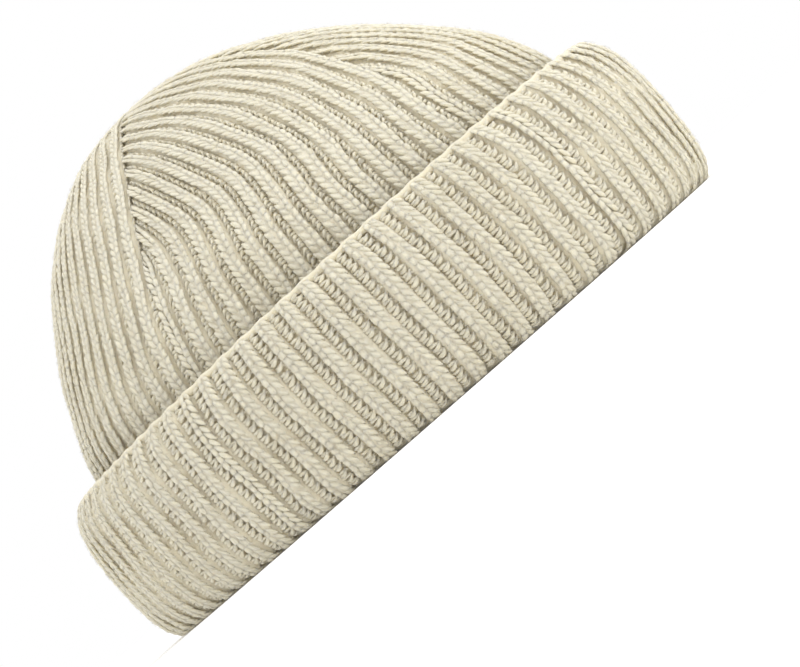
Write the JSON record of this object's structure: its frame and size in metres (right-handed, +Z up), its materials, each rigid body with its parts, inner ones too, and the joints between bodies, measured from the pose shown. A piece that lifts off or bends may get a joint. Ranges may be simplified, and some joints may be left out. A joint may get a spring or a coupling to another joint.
{
  "type": "fisherman beanie",
  "caption": "Short rib-knit beanie: a hollow gored crown closed at its tip, with one deep turned-up cuff, resting on the cuff's fold.",
  "frame": {"origin": "middle of the hat's footprint, on the surface that the cuff's fold rests on", "axes": "+Z up through the crown, +X to the wearer's-side width of the hat with the tip leaning towards -X, and -Y the side that the picture shows"},
  "size_m": [0.215, 0.1968, 0.13],
  "materials": {
    "undyed_yarn": "soft matt rib-knitted yarn"
  },
  "bodies": {
    "root": {"crown": "undyed_yarn", "cuff": "undyed_yarn"}
  },
  "joints": []
}
